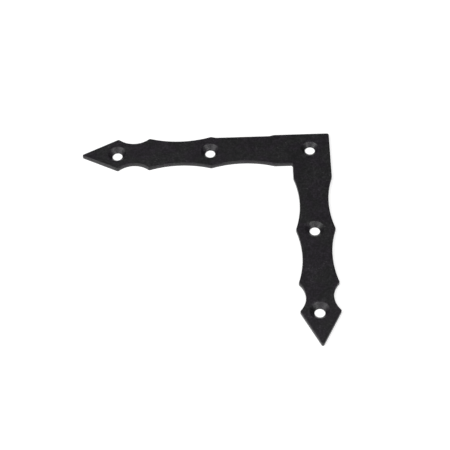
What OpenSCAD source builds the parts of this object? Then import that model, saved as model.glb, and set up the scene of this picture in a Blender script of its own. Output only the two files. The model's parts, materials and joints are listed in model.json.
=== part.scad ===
// Ornamental corner plate with two spear-pointed arms.
// One stamped steel plate lies on its flat back, and countersunk screws hold it to a frame.
// The origin is on the axis of the corner hole, in the back face. The arms run along -X and -Y,
// and the countersunk front looks along +Z.

/* [Strip] */
// Width of each arm at its plain corner block
arm_w = 18.2; // [16:0.1:24]
// Thickness of the plate
plate_t = 2; // [1.5:0.1:3]

/* [Lengths along an arm] */
// Plain corner block, from the outer corner
block_l = 26.6; // [24:0.1:36]
// First waist, from the block to the middle shoulder
first_waist_l = 30.9; // [24:0.1:45]
// Second waist, from the middle shoulder to the neck's shoulder
second_waist_l = 30; // [24:0.1:45]
// Neck, from its shoulder to the widest place of the spear
neck_l = 15.3; // [12:0.1:20]
// Spear, from its widest place to its tip
spear_l = 17.2; // [14:0.1:26]

/* [Depths across an arm] */
// Depth of the first waist's scallops
first_waist_depth = 2.35; // [1:0.05:3]
// Depth of the second waist's scallops
second_waist_depth = 2.25; // [1:0.05:3]
// Depth of the round notches at the neck
neck_depth = 2.85; // [1.5:0.05:3.5]
// Depth at which the -X arm's first waist runs straight along its outer edge
straight_depth = 0.6; // [0.3:0.05:3]
// Length of the strip's own edge that is left on top of each shoulder
shoulder_land = 0.5; // [0.3:0.1:2]
// Width of the blunted tip
tip_w = 0.8; // [0.5:0.1:2]

/* [Rounded edges] */
// Reach of the rolled front edge, inward and downward
roll = 0.35; // [0.2:0.05:0.6]
// Radius of the outer corner
outer_corner_r = 0.9; // [0.7:0.1:4]
// Radius of the inside corner
inside_corner_r = 1; // [0.7:0.1:4]

/* [Screw holes] */
// Diameter of the screw holes
bore_d = 5; // [4:0.1:6]
// Diameter of the countersinks at the front face
countersink_d = 9.2; // [7:0.1:10.5]
// Height of the straight bore under each countersink
bore_land = 0.7; // [0.4:0.05:1]
// Distance of the row of holes from an arm's middle line, towards the inside
row_offset = 0.5; // [0:0.1:1.5]
// Distance of the middle hole past the middle shoulder
middle_hole_past = 0.5; // [-2:0.1:2]
// Distance of the tip hole past the spear's widest place
tip_hole_past = 0.4; // [-2:0.1:2]

/* [Hidden] */
$fn = 128;

// Stations along an arm, from the outer corner
middle_s = block_l + first_waist_l;
neck_s = middle_s + second_waist_l;
spear_s = neck_s + neck_l;
arm_l = spear_s + spear_l;

// Distance of the row of holes, and so of the origin, from the outer edges
row_n = arm_w / 2 + row_offset;
// Places of an arm's middle hole and tip hole along the row
hole_s = [middle_s + middle_hole_past, spear_s + tip_hole_past];

// How far the cutting shapes pass the steel
over = 1;
// Height of the cutting shapes
cut_h = plate_t + 2 * over;
// How far a straight cut reaches away from its edge, which clears the blank beside the spear
straight_reach = arm_w / 2;
// Radius of the rolled edge: a little over its reach, so it meets wall and face at a slight angle
roll_r = 1.2 * roll;
// Distance of the roll's centre from the wall, and under the front face
roll_c = roll / 2 + sqrt(roll_r * roll_r / 2 - roll * roll / 4);

// Radius of an arc over a chord of length l that is deep at its middle
function arc_r(l, deep) = (l * l / 4 + deep * deep) / (2 * deep);

// Section of every cut, wide from x = 0 to the new wall, with the steel beyond it. At the front
// face the cut flares over the steel and rolls its edge.
module cut_section(wide) {
    translate([0, -over]) square([wide, cut_h]);
    difference() {
        translate([0, plate_t - roll_c]) square([wide + roll_c, roll_c + over]);
        translate([wide + roll_c, plate_t - roll_c]) circle(r = roll_r);
    }
}

// Cuts along the X axis, away from the steel on its +Y side
module straight_cut(l) {
    translate([0, -straight_reach, 0])
        rotate([90, 0, 90]) linear_extrude(height = l) cut_section(straight_reach);
}

// Cuts a round opening out of the steel
module round_cut(r) {
    rotate_extrude() cut_section(r);
}

// A round post of steel with a rolled edge, standing through a block that is cut away around it
module round_post(r) {
    rotate_extrude() difference() {
        translate([0, -2 * over]) square([r, cut_h + 2 * over]);
        translate([r + over, 0]) mirror([1, 0]) cut_section(over);
    }
}

// The modules from here to long_edge_rolls() work on one arm that lies along +X, with the outer
// corner of the plate at the origin and the arm's outer edge on the X axis.

// One scallop in an edge, from shoulder land to shoulder land
module scallop(s, l, deep) {
    r = arc_r(l - shoulder_land, deep);
    translate([s + l / 2, deep - r, 0]) round_cut(r);
}

// The first scallop, or a straight run at straight_depth between the scallop's two ends
module first_waist(straight) {
    if (straight) {
        intersection() {
            first_waist(false);
            translate([block_l, straight_depth, 0]) straight_cut(first_waist_l);
        }
    } else {
        scallop(block_l, first_waist_l, first_waist_depth);
    }
}

// The ornament in one long edge
module edge_cuts(straight) {
    first_waist(straight);
    scallop(middle_s, second_waist_l, second_waist_depth);
    scallop(neck_s, neck_l, neck_depth);

    // Straight side of the spear
    rise = (arm_w - tip_w) / 2;
    run = spear_l - shoulder_land / 2;
    translate([arm_l - run, 0, 0]) rotate([0, 0, atan2(rise, run)])
        straight_cut(norm([rise, run]) + over);
}

// One arm, cut out of a plain strip. Its long edges are still square at the front.
module arm(straight) {
    difference() {
        cube([arm_l, arm_w, plate_t]);
        edge_cuts(straight);
        translate([0, arm_w, 0]) mirror([0, 1, 0]) edge_cuts(false);
        translate([arm_l, -over, 0]) rotate([0, 0, 90]) straight_cut(arm_w + 2 * over);
    }
}

// Rolls the front of the two long edges, where the strip's own edge is left
module long_edge_rolls() {
    translate([-over, 0, 0]) straight_cut(arm_l + over);
    translate([arm_w + inside_corner_r, arm_w, 0]) mirror([0, 1, 0]) straight_cut(arm_l);
}

// Rounds the outer corner
module outer_corner_cut() {
    difference() {
        translate([-over, -over, -over])
            cube([over + outer_corner_r, over + outer_corner_r, cut_h]);
        translate([outer_corner_r, outer_corner_r, 0]) round_post(outer_corner_r);
    }
}

// One countersunk screw hole
module screw_hole() {
    rotate_extrude() polygon([
        [0, -over], [bore_d / 2, -over], [bore_d / 2, bore_land],
        [countersink_d / 2, plate_t], [countersink_d / 2, plate_t + over], [0, plate_t + over]
    ]);
}

// The whole plate. It is laid out from its outer corner along +X and +Y, and then turned so that its
// arms run along -X and -Y from the corner hole.
module corner_plate() {
    color("#2b292c") translate([row_n, row_n, 0]) rotate([0, 0, 180]) difference() {
        union() {
            arm(true);
            mirror([1, -1, 0]) arm(false);
            cube([arm_w + inside_corner_r, arm_w + inside_corner_r, plate_t]);
        }
        long_edge_rolls();
        mirror([1, -1, 0]) long_edge_rolls();
        outer_corner_cut();
        translate([arm_w + inside_corner_r, arm_w + inside_corner_r, 0]) round_cut(inside_corner_r);
        for (s = [row_n, hole_s[0], hole_s[1]]) translate([s, row_n, 0]) screw_hole();
        for (s = hole_s) translate([row_n, s, 0]) screw_hole();
    }
}

corner_plate();
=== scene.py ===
"""Looks of the ornamental corner plate: stamped steel with rolled edges, in satin black powder coat.

The plate's lengths are in millimetres, and become metres only where its mesh and the camera are made.
The floor and the lamps are in metres. The plate is laid out from its outer corner: a runs along the -X
arm and b along the -Y arm.
"""
import json

import bpy
import numpy as np
from mathutils import Matrix, Vector


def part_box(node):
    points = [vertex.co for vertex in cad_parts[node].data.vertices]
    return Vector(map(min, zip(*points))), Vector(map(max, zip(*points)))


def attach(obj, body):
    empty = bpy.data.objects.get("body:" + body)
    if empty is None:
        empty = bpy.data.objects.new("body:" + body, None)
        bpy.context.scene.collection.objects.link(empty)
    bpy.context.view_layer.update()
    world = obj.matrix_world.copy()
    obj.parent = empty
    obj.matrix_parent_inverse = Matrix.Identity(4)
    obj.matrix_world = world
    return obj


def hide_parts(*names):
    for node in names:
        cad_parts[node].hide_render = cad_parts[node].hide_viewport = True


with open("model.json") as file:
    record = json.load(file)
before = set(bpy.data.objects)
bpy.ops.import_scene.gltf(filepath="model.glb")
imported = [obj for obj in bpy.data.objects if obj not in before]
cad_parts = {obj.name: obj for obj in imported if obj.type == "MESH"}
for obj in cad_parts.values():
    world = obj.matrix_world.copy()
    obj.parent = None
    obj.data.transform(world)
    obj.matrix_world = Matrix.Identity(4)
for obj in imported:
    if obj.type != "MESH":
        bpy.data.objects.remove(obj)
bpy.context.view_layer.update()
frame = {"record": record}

# A millimetre in metres
MM = 0.001

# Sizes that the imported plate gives: its thickness, the length of its arms, the distance of the rows of
# holes from the outer edges, the bores' radius and length, and the holes' stations along an arm
lowest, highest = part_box("corner_plate")
bores = [m for m in frame["record"]["mounts"] if m["kind"] == "bore"]
PLATE_T = (highest.z - lowest.z) / MM
ARM_L = (highest.x - lowest.x) / MM
ROW = highest.x / MM
BORE_R = bores[0]["dims"]["r_mm"]
BORE_LAND = bores[0]["dims"]["length_mm"]
HOLES = sorted(ROW - m["pos_m"][0] / MM for m in bores if abs(m["pos_m"][1]) < MM)

# Strip and ornament. A waist and the neck are each given by their start, length and depth.
ARM_W = 18.2
SHOULDER_LAND = 0.5
FIRST_WAIST = (26.6, 30.9, 2.35)
SECOND_WAIST = (57.5, 30.0, 2.25)
NECK = (87.5, 15.3, 2.85)
SPEAR_START = 102.8 + SHOULDER_LAND / 2
TIP_W = 0.8
# Depth of the straight run that takes the place of one edge's first waist
STRAIGHT_DEPTH = 0.6
OUTER_CORNER_R = 0.9
INSIDE_CORNER_R = 1.0
COUNTERSINK_R = 4.45
# Play of each countersink: how far it lies off its bore's axis in a and in b, and what its radius gains
CORNER_PLAY = (0.0, -0.05, 0.0)
X_ARM_PLAY = ((0.0, -0.75, 0.0), (0.0, -0.65, 0.0))
Y_ARM_PLAY = ((0.0, -0.35, 0.0), (0.0, -0.6, 0.1))

# Radii of the edges in section: rolled front, back, rims of the countersinks, and from cone to bore
ROLL_R = 0.45
BACK_EDGE_R = 0.12
COUNTERSINK_EDGE_R = 0.5
BORE_EDGE_R = 0.2
# Thickness of the powder coat on walls and in the bores
COAT = 0.08
# Half the length over which a corner of the outline is rounded, and the count of points in each mean
CORNER_REACH = 0.45
CORNER_POINTS = 41
# Distance from the outline to the flat faces' own grids, and the smaller one at a tip. It changes from
# one to the other between two lengths from the tip.
INSET = 0.42
TIP_INSET = 0.3
TIP_NEAR, TIP_FAR = 0.9, 2.2
# Distance from a hole's rim to the flat faces' own grids
HOLE_MARGIN = 0.35

# Mesh density: step between the points of the sharp outline, then counts of points across an arm, along
# it, round the outer corner, round the inside corner and out from a hole
STEP = 0.05
ACROSS = 20
ARM_SAMPLES = 170
CORNER_SAMPLES = 72
INSIDE_SAMPLES = 20
CELL_SAMPLES = 5
# Station where an arm's cross lines start
START = 20.0
# What each shoulder adds to the lines' even density of 1, and how far from it
SHOULDER_CROWD = 9
SHOULDER_REACH = 0.6
# Power that draws the outer corner's points to its middle
CORNER_CROWD = 1.7
# Half the lengths of the cells round the middle hole and the tip hole, and each cell's start and end
CELL_HALVES = (7.5, 6.2)
HOLE_CELLS = [(hole - half, hole + half) for hole, half in zip(HOLES[1:], CELL_HALVES)]
# Points closer than about this many metres become one vertex
MERGE = 1e-9

# Where in the noise the coat's warm and cool patches start, in metres
TINT_START = (0.65, 0.75, 0.25)

# Floor: half of its side, radius of its flat part, rise of its sweep over the half side, gap under the
# plate and count of points along a side
FLOOR_HALF = 8.0
FLOOR_FLAT = 3.0
FLOOR_RISE = 0.35
FLOOR_GAP = 0.05 * MM
FLOOR_POINTS = 65
# The floor's glow grows from a level near the plate to 1, between two distances
GLOW_LEVEL = 0.66
GLOW_NEAR, GLOW_FAR = 0.35, 1.6

# Point that the lamps look at, their distance from it and their size
LIT_POINT = (-0.04, -0.04, 0)
SOFTBOX_DISTANCE = 2.4
SOFTBOX_SIZE = 0.9
# Name, azimuth, elevation and level of each lamp
SOFTBOXES = (
    ("high_left_softbox", -90, 65, 0.235),
    ("low_left_softbox", -60, 40, 0.435),
    ("right_softbox", 60, 65, 0.3),
    ("front_softbox", 0, 40, 0.19),
    ("back_softbox", -150, 65, 0.054),
)
# Level of the light from all round
WORLD_LEVEL = 0.055


def scallop_depth(s, start, length, deep):
    """Depth at station s of an arc over a chord between two shoulder lands: the height of a circle over
    that chord, sqrt(r^2 - x^2) - (r - deep) with x from the chord's middle, and 0 beyond its ends."""
    half = (length - SHOULDER_LAND) / 2
    r = (half**2 + deep**2) / (2 * deep)
    x = np.clip(s - start - length / 2, -half, half)
    return np.sqrt(r**2 - x**2) - (r - deep)


def edge_depth(s, straight):
    """Depth of an arm's long edge at station s: two waists, the neck and the straight rise of the spear.
    The straight edge holds its first waist down to one depth."""
    first = scallop_depth(s, *FIRST_WAIST)
    if straight:
        first = np.minimum(first, STRAIGHT_DEPTH)
    slope = (ARM_W - TIP_W) / 2 / (ARM_L - SPEAR_START)
    spear = slope * np.clip(s - SPEAR_START, 0, None)
    return first + scallop_depth(s, *SECOND_WAIST) + scallop_depth(s, *NECK) + spear


def arc_points(centre, r, start, stop):
    """Points of an arc about a centre, about one to a degree, from one angle to another."""
    angle = np.linspace(np.radians(start), np.radians(stop), 2 + int(abs(stop - start)))
    return np.stack([centre + r * np.cos(angle), centre + r * np.sin(angle)], 1)


def stations():
    """Stations of an arm's cross lines. Their density is 1 and a bell exp(-x^2) at each corner of the
    outline, so they lie where the running sum of that density reaches equal steps."""
    s = np.arange(START, ARM_L + STEP / 2, STEP)
    shoulders = [FIRST_WAIST[0], SECOND_WAIST[0], NECK[0], SPEAR_START - SHOULDER_LAND / 2, ARM_L]
    bells = sum(np.exp(-(((s - shoulder) / SHOULDER_REACH) ** 2)) for shoulder in shoulders)
    density = 1 + SHOULDER_CROWD * bells
    total = np.concatenate([[0], np.cumsum((density[1:] + density[:-1]) / 2)])
    return np.interp(np.linspace(0, total[-1], ARM_SAMPLES), total, s)


class Outline:
    """The plate's closed outline, counter-clockwise in (a, b), with its corners rounded.

    The sharp outline is a dense chain of points. A rounded point is the mean of the chain within
    CORNER_REACH on both sides, with weights (1 - x^2)^2, which leaves straight runs and wide arcs alone.
    Each edge of an arm is kept as its stations and its lengths along the chain."""

    def __init__(self):
        far = np.arange(ARM_W + INSIDE_CORNER_R, ARM_L + STEP / 2, STEP)
        near = np.arange(OUTER_CORNER_R, ARM_L + STEP / 2, STEP)
        inside = ARM_W + INSIDE_CORNER_R
        x_outer = np.stack([near, edge_depth(near, True)], 1)
        x_inner = np.stack([far, ARM_W - edge_depth(far, False)], 1)[::-1]
        y_inner = np.stack([ARM_W - edge_depth(far, False), far], 1)
        y_outer = np.stack([edge_depth(near, False), near], 1)[::-1]
        corner = arc_points(OUTER_CORNER_R, OUTER_CORNER_R, 180, 270)
        inside_corner = arc_points(inside, INSIDE_CORNER_R, 270, 180)
        parts = [x_outer, x_inner, inside_corner[1:-1], y_inner, y_outer, corner[1:-1]]
        self.points = np.concatenate(parts + [x_outer[:1]])
        steps = np.linalg.norm(np.diff(self.points, axis=0), axis=1)
        self.length = np.concatenate([[0], np.cumsum(steps)])
        first = np.cumsum([0] + [len(p) for p in parts])
        self.x_outer = (near, self.length[first[0]:first[1]])
        self.x_inner = (far, self.length[first[1]:first[2]][::-1])
        self.y_inner = (far, self.length[first[3]:first[4]])
        self.y_outer = (near, self.length[first[4]:first[5]][::-1])

    def at(self, place):
        """Sharp outline's point at a length from its start, and round again past its end."""
        place = np.mod(place, self.length[-1])
        return np.stack([np.interp(place, self.length, self.points[:, k]) for k in (0, 1)], -1)

    def rounded(self, place):
        """Rounded outline's point at a length from its start."""
        x = np.linspace(-1, 1, CORNER_POINTS)
        weight = (1 - x**2) ** 2
        near = self.at(place[:, None] + x * CORNER_REACH)
        return (near * weight[:, None]).sum(1) / weight.sum()

    def inward(self, place):
        """Unit normals into the steel: the line from a little before to a little after, turned left."""
        along = self.rounded(place + STEP) - self.rounded(place - STEP)
        turned = np.stack([-along[:, 1], along[:, 0]], 1)
        return turned / np.linalg.norm(turned, axis=1, keepdims=True)

    def inset(self, place):
        """Distance from the outline to the faces' grids: it falls evenly from INSET to TIP_INSET between
        TIP_FAR and TIP_NEAR from a tip, where the outline turns tightly."""
        x_tip = (self.x_outer[1][-1] + self.x_inner[1][-1]) / 2
        y_tip = (self.y_outer[1][-1] + self.y_inner[1][-1]) / 2
        away = np.minimum(np.abs(place - x_tip), np.abs(place - y_tip))
        return np.interp(away, [TIP_NEAR, TIP_FAR], [TIP_INSET, INSET])

    def face_edge(self, place):
        """Edge of the faces' grids: the rounded outline moved into the steel by its inset."""
        return self.rounded(place) + self.inward(place) * self.inset(place)[:, None]


def rounded_section(corners, radii, steps=7):
    """A section line with its inner corners replaced by arcs. Each arc runs from r * tan(turn / 2) before
    the corner to as far after it, as the weighted mean of those two points and the corner itself, with
    weights that keep it on a circle (a rational quadratic curve)."""
    corners = np.asarray(corners, float)
    line = [corners[:1]]
    for before, corner, after, r in zip(corners[:-2], corners[1:-1], corners[2:], radii):
        into = (corner - before) / np.linalg.norm(corner - before)
        out = (after - corner) / np.linalg.norm(after - corner)
        half_turn = np.arccos(np.clip(into @ out, -1, 1)) / 2
        reach = r * np.tan(half_turn)
        t = np.linspace(0, 1, steps)[:, None]
        w = np.cos(half_turn)
        share = np.concatenate([(1 - t) ** 2, 2 * w * t * (1 - t), t**2], 1)
        ends = np.stack([corner - reach * into, corner, corner + reach * out])
        line.append(share @ ends / share.sum(1, keepdims=True))
    return np.concatenate(line + [corners[-1:]])


def lift(plan, height):
    """Points in plan and their heights, as points of the CAD frame in metres."""
    a, b = plan[..., 0], plan[..., 1]
    return np.stack([ROW - a, ROW - b, np.broadcast_to(height, a.shape)], -1) * MM


def between(first, second, count):
    """A grid of straight lines from each point of one row to the matching point of another."""
    t = np.linspace(0, 1, count)[:, None]
    return first[:, None] * (1 - t) + second[:, None] * t


def ring(points):
    """The same points with the first one again at the end."""
    return np.concatenate([points, points[:1]])


def edge_band(outline, place):
    """The plate's rim: its section, carried along the outline. A point of the band is the outline's point
    moved into the steel by the section's first number and lifted to its second. The part of the section
    inside the outline narrows as the inset does, and its two ends lie on the edges of the faces' grids."""
    section = rounded_section(
        [(INSET, 0), (-COAT, 0), (-COAT, PLATE_T), (INSET, PLATE_T)], [BACK_EDGE_R, ROLL_R]
    )
    narrow = np.where(section[:, 0] > 0, outline.inset(place)[:, None] / INSET, 1.0)
    reach = narrow * section[:, 0]
    plan = outline.rounded(place)[:, None] + outline.inward(place)[:, None] * reach[..., None]
    plan[:, 0] = plan[:, -1] = outline.face_edge(place)
    return lift(ring(plan), section[:, 1])


def hole_cell(loop, a, b, play):
    """One countersunk hole and the faces round it, up to a loop of points: a section that starts on the
    loop, runs in to the countersink, down its cone and bore and out again on the back, turned about the
    hole's axis through each point of the loop. The cone leans by its play, in proportion to its height
    over the bore."""
    *shift, wider = play
    wide = COUNTERSINK_R + wider
    section = rounded_section(
        [
            (wide + HOLE_MARGIN, PLATE_T),
            (wide, PLATE_T),
            (BORE_R - COAT, BORE_LAND),
            (BORE_R - COAT, 0),
            (BORE_R + HOLE_MARGIN, 0),
        ],
        [COUNTERSINK_EDGE_R, BORE_EDGE_R, BACK_EDGE_R],
    )
    centre = np.array([a, b])
    loop = ring(loop)
    out = loop - centre
    out = out / np.linalg.norm(out, axis=1, keepdims=True)
    rise = np.clip((section[:, 1:] - BORE_LAND) / (PLATE_T - BORE_LAND), 0, 1)
    turned = centre + out[:, None] * section[:, :1] + rise * np.array(shift)
    front = between(loop, turned[:, 0], CELL_SAMPLES)[:, :-1]
    back = between(turned[:, -1], loop, CELL_SAMPLES)[:, 1:]
    plan = np.concatenate([front, turned, back], 1)
    flat = np.zeros(CELL_SAMPLES - 1)
    return lift(plan, np.concatenate([flat + PLATE_T, section[:, 1], flat]))


def cell_loop(first, second):
    """The points round a piece of an arm between its two edges: out along the first edge, across, back
    along the second edge and across again."""
    far = between(first[-1:], second[-1:], ACROSS)[0]
    near = between(second[:1], first[:1], ACROSS)[0]
    return np.concatenate([first[:-1], far[:-1], second[::-1][:-1], near[:-1]])


def arm_patches(s, first, second, tip, cells):
    """Front, back and holes of one arm: straight cross lines between its two edges, a hole's cell in place
    of the lines from one station to another, and the tip's own line at the end."""
    patches = []
    begin = 0
    for (low, high), centre, play in cells:
        i, j = np.searchsorted(s, [low, high])
        patches += face_patches(first[begin:i + 1], second[begin:i + 1])
        patches.append(hole_cell(cell_loop(first[i:j + 1], second[i:j + 1]), *centre, play))
        begin = j
    return patches + face_patches(first[begin:], second[begin:], tip)


def face_patches(first, second, tip=None):
    """Front and back of a strip between two edges. A tip's line takes the place of the last cross line."""
    plan = between(first, second, ACROSS)
    if tip is not None:
        plan[-1] = tip
    return [lift(plan, PLATE_T), lift(plan[::-1], 0.0)]


def plate_patches():
    """Every patch of the plate's skin. Neighbours share the points of their seams."""
    outline = Outline()
    s = stations()
    edges = {
        name: np.interp(s, *getattr(outline, name))
        for name in ("x_outer", "x_inner", "y_inner", "y_outer")
    }
    u = np.linspace(-1, 1, CORNER_SAMPLES)
    before, after = edges["y_outer"][0] - outline.length[-1], edges["x_outer"][0]
    round_corner = (before + after) / 2 + (after - before) / 2 * np.sign(u) * np.abs(u) ** CORNER_CROWD
    round_inside = np.linspace(edges["x_inner"][0], edges["y_inner"][0], INSIDE_SAMPLES)
    x_tip = np.linspace(edges["x_outer"][-1], edges["x_inner"][-1], ACROSS)
    y_tip = np.linspace(edges["y_inner"][-1], edges["y_outer"][-1], ACROSS)

    # Places once round the outline, for the rim
    walk = [
        round_corner[:-1], edges["x_outer"], x_tip[1:-1], edges["x_inner"][::-1],
        round_inside[1:-1], edges["y_inner"], y_tip[1:-1], edges["y_outer"][::-1][:-1],
    ]
    # Edges of the flat faces along the arms, and the loop round the corner block
    x_first, x_second, x_end = map(outline.face_edge, (edges["x_outer"], edges["x_inner"], x_tip))
    y_first, y_second, y_end = map(outline.face_edge, (edges["y_inner"], edges["y_outer"], y_tip))
    across_x = between(x_first[:1], x_second[:1], ACROSS)[0]
    across_y = between(y_first[:1], y_second[:1], ACROSS)[0]
    corner_loop = np.concatenate([
        outline.face_edge(round_corner)[:-1], across_x[:-1],
        outline.face_edge(round_inside)[:-1], across_y[:-1],
    ])
    x_holes = [(h, ROW) for h in HOLES[1:]]
    y_holes = [(ROW, h) for h in HOLES[1:]]
    return (
        [edge_band(outline, np.concatenate(walk)), hole_cell(corner_loop, ROW, ROW, CORNER_PLAY)]
        + arm_patches(s, x_first, x_second, x_end, list(zip(HOLE_CELLS, x_holes, X_ARM_PLAY)))
        + arm_patches(s, y_first, y_second, y_end, list(zip(HOLE_CELLS, y_holes, Y_ARM_PLAY)))
    )


def skin(name, patches):
    """One closed mesh out of patches. Each patch is a grid of points whose quads are (i, j), (i + 1, j),
    (i + 1, j + 1), (i, j + 1), and points of two patches that lie in one place become one vertex."""
    sizes = [p[..., 0].size for p in patches]
    faces = []
    for patch, start in zip(patches, np.cumsum([0] + sizes)):
        number = start + np.arange(patch[..., 0].size).reshape(patch.shape[:2])
        quads = [number[:-1, :-1], number[1:, :-1], number[1:, 1:], number[:-1, 1:]]
        faces.append(np.stack(quads, -1).reshape(-1, 4))
    points = np.concatenate([p.reshape(-1, 3) for p in patches])
    rounded = np.round(points / MERGE)
    _, first, number = np.unique(rounded, axis=0, return_index=True, return_inverse=True)
    faces = number.reshape(-1)[np.concatenate(faces)]
    mesh = bpy.data.meshes.new(name)
    mesh.from_pydata(points[first], [], faces)
    mesh.polygons.foreach_set("use_smooth", np.ones(len(faces), bool))
    mesh.update()
    piece = bpy.data.objects.new(name, mesh)
    bpy.context.scene.collection.objects.link(piece)
    return piece


class Value:
    """A socket of a material's nodes. Arithmetic on it adds Math nodes, and make() adds any other node."""

    def __init__(self, tree, socket=None):
        self.tree = tree
        self.socket = socket

    def make(self, kind, settings=None, inputs=None, output=0):
        """Adds a node: its type, its settings, then values or links for its sockets. Gives one output, by
        its place or its name."""
        node = self.tree.nodes.new(kind)
        for key, setting in (settings or {}).items():
            setattr(node, key, setting)
        for key, value in (inputs or {}).items():
            if isinstance(value, Value):
                self.tree.links.new(value.socket, node.inputs[key])
            else:
                node.inputs[key].default_value = value
        return Value(self.tree, node.outputs[output] if len(node.outputs) else None)

    def math(self, operation, first, second):
        """One Math node on two numbers."""
        return self.make("ShaderNodeMath", {"operation": operation}, {0: first, 1: second})

    def __add__(self, other):
        return self.math("ADD", self, other)

    def __sub__(self, other):
        return self.math("SUBTRACT", self, other)

    def __rsub__(self, other):
        return self.math("SUBTRACT", other, self)

    def __mul__(self, other):
        return self.math("MULTIPLY", self, other)

    __radd__ = __add__
    __rmul__ = __mul__

    def noise(self, place, per_mm, detail=2.0):
        """Soft noise from 0 to 1 with so many swells in a millimetre."""
        inputs = {"Vector": place, "Scale": per_mm / MM, "Detail": detail}
        return self.make("ShaderNodeTexNoise", None, inputs)

    def ramp(self, value, low, high, start=0.0, stop=1.0):
        """A smooth rise from start to stop while value goes from low to high."""
        inputs = {"Value": value, "From Min": low, "From Max": high, "To Min": start, "To Max": stop}
        return self.make("ShaderNodeMapRange", {"interpolation_type": "SMOOTHSTEP"}, inputs)

    def blend(self, share, first, second):
        """Colour between two colours, which are sockets 6 and 7 of a Mix node. Its output 2 is a colour."""
        return self.make("ShaderNodeMix", {"data_type": "RGBA"}, {0: share, 6: first, 7: second}, 2)


def new_material(name):
    """An empty node material, and a Value that adds nodes to it."""
    material = bpy.data.materials.new(name)
    material.use_nodes = True
    material.node_tree.nodes.clear()
    return material, Value(material.node_tree)


def colour(red, green, blue):
    """An opaque colour."""
    return (red, green, blue, 1.0)


def black_powder_coat():
    """Satin black powder coat: a fine grain and a finer pebble on a soft orange peel, rough patches with
    pale flecks, a few pale specks of dust, and faint warm and cool patches."""
    material, shader = new_material("black_powder_coat")
    place = shader.make("ShaderNodeTexCoord", output="Object")
    grain = shader.noise(place, 1.1, 4.0)
    peel = shader.noise(place, 0.4)
    mottle = shader.noise(place, 0.15, 3.0)
    aside = shader.make("ShaderNodeVectorMath", {"operation": "ADD"}, {0: place, 1: TINT_START})
    tint = shader.noise(aside, 0.12, 1.0)

    # A speck lies in the middle of a cell, and the cell's own random colour decides how strong it is
    cells = {"Vector": place, "Scale": 0.3 / MM}
    to_speck = shader.make("ShaderNodeTexVoronoi", None, cells)
    cell_colour = shader.make("ShaderNodeTexVoronoi", None, cells, "Color")
    chance = shader.make("ShaderNodeSeparateColor", None, {0: cell_colour})
    speck = (1.0 - shader.ramp(to_speck, 0.04, 0.13)) * shader.ramp(chance, 0.6, 1.0)

    # The grain runs from dark to pale on a cool and on a warm black, and flecks lie on rough patches
    pale = shader.ramp(grain * 0.8 + peel * 0.2 + (mottle - 0.5) * 0.07, 0.4, 0.7)
    cool = shader.blend(pale, colour(0.0038, 0.0037, 0.0042), colour(0.0202, 0.0195, 0.0214))
    warm = shader.blend(pale, colour(0.0042, 0.0028, 0.0051), colour(0.0213, 0.0168, 0.024))
    coat = shader.blend(shader.ramp(tint, 0.43, 0.57), cool, warm)
    fleck = shader.ramp(shader.noise(place, 1.3), 0.62, 0.76) * shader.ramp(mottle, 0.46, 0.6)
    dusted = shader.blend(speck * 0.3 + fleck * 0.35, coat, colour(0.14, 0.14, 0.14))
    rough = shader.ramp(mottle, 0.3, 0.7, 0.385, 0.435) + speck * 0.2

    pebble = shader.noise(place, 2.6)
    height = grain * 0.7 + peel * 0.6 + pebble * 0.4
    bump = shader.make("ShaderNodeBump", None, {"Strength": 1.0, "Distance": 0.065 * MM, "Height": height})
    surface = shader.make(
        "ShaderNodeBsdfPrincipled",
        None,
        {"Base Color": dusted, "Roughness": rough, "IOR": 1.5, "Normal": bump},
    )
    shader.make("ShaderNodeOutputMaterial", None, {"Surface": surface})
    return material


def studio_floor():
    """Matt white floor. Camera, glossy and transmitted rays see it brighter than it is lit: a little near
    the plate, and up to white further off, where the lamps don't reach."""
    material, shader = new_material("studio_floor")
    matt = shader.make("ShaderNodeBsdfDiffuse", None, {"Color": colour(0.5, 0.5, 0.5)})
    kinds = ("Is Camera Ray", "Is Glossy Ray", "Is Transmission Ray")
    rays = [shader.make("ShaderNodeLightPath", output=kind) for kind in kinds]
    place = shader.make("ShaderNodeTexCoord", output="Object")
    away = shader.make("ShaderNodeVectorMath", {"operation": "LENGTH"}, {0: place}, "Value")
    seen = rays[0] + rays[1] + rays[2]
    strength = seen * shader.ramp(away, GLOW_NEAR, GLOW_FAR, GLOW_LEVEL, 1.0)
    glow = shader.make("ShaderNodeEmission", None, {"Color": colour(1, 1, 1), "Strength": strength})
    both = shader.make("ShaderNodeAddShader", None, {0: matt, 1: glow})
    shader.make("ShaderNodeOutputMaterial", None, {"Surface": both})
    return material


def add_floor():
    """A wide sheet just under the plate's back, flat for metres and then sweeping up: its height grows
    with the square of the distance past the flat part."""
    side = np.linspace(-FLOOR_HALF, FLOOR_HALF, FLOOR_POINTS)
    x, y = np.meshgrid(side, side, indexing="ij")
    past = np.clip(np.hypot(x, y) - FLOOR_FLAT, 0, None) / (FLOOR_HALF - FLOOR_FLAT)
    floor = skin("studio_floor", [np.stack([x, y, FLOOR_RISE * past**2 - FLOOR_GAP], -1)])
    floor.data.materials.append(studio_floor())


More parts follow.
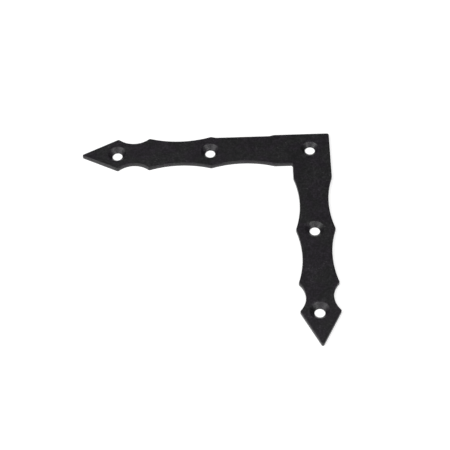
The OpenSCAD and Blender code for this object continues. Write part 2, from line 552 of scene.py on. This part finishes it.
def add_softbox(name, azimuth, elevation, level):
    """A square lamp that looks at the plate from an azimuth (0 is the camera's side, 90 is +X) and an
    elevation, both in degrees. By itself it lights a sheet that faces it so that white renders as level."""
    lamp = bpy.data.lights.new(name, "AREA")
    lamp.shape = "SQUARE"
    lamp.size = SOFTBOX_SIZE
    lamp.energy = level * (np.pi * SOFTBOX_DISTANCE) ** 2
    turn, rise = np.radians(azimuth), np.radians(elevation)
    toward = Vector((np.sin(turn) * np.cos(rise), -np.cos(turn) * np.cos(rise), np.sin(rise)))
    holder = bpy.data.objects.new(name, lamp)
    holder.location = Vector(LIT_POINT) + toward * SOFTBOX_DISTANCE
    holder.rotation_euler = toward.to_track_quat("Z", "Y").to_euler()
    bpy.context.scene.collection.objects.link(holder)


def add_world(level):
    """Even pale light from all round."""
    world = bpy.data.worlds.new("studio_world")
    world.use_nodes = True
    world.node_tree.nodes["Background"].inputs["Color"].default_value = colour(1, 1, 1)
    world.node_tree.nodes["Background"].inputs["Strength"].default_value = level
    bpy.context.scene.world = world


def add_camera():
    """The photograph's view: its direction and roll in degrees, the distance in millimetres, the focal
    length in pixels of a 450 pixel picture, and the pixel of the plate's outer corner."""
    azimuth, elevation, roll = np.radians([1.9754, 53.5449, -3.3216])
    pixels, distance, focal = 450, 685.012, 1398.244
    corner = np.array([328.474, 135.696])
    level = np.cos(elevation)
    back = np.array([np.sin(azimuth) * level, -np.cos(azimuth) * level, np.sin(elevation)])
    right = np.array([np.cos(azimuth), np.sin(azimuth), 0.0])
    up = np.cross(back, right)
    turn = np.array([[np.cos(roll), np.sin(roll)], [-np.sin(roll), np.cos(roll)]])
    right, up = turn @ np.stack([right, up])
    shift = (corner - pixels / 2) * distance / focal
    place = np.array([ROW, ROW, 0.0]) - shift[0] * right + shift[1] * up + distance * back
    lens = bpy.data.cameras.new("camera")
    lens.sensor_width = 36.0
    lens.lens = focal * lens.sensor_width / pixels
    lens.clip_start = 0.01
    lens.clip_end = 50.0
    camera = bpy.data.objects.new("camera", lens)
    axes = np.stack([right, up, back], 1)
    camera.matrix_world = Matrix.Translation(Vector(place * MM)) @ Matrix(axes.tolist()).to_4x4()
    bpy.context.scene.collection.objects.link(camera)
    bpy.context.scene.camera = camera


plate = skin("plate", plate_patches())
plate.data.materials.append(black_powder_coat())
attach(plate, "root")
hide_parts("corner_plate")

add_floor()
for softbox in SOFTBOXES:
    add_softbox(*softbox)
add_world(WORLD_LEVEL)
add_camera()
bpy.context.scene.view_settings.view_transform = "Standard"
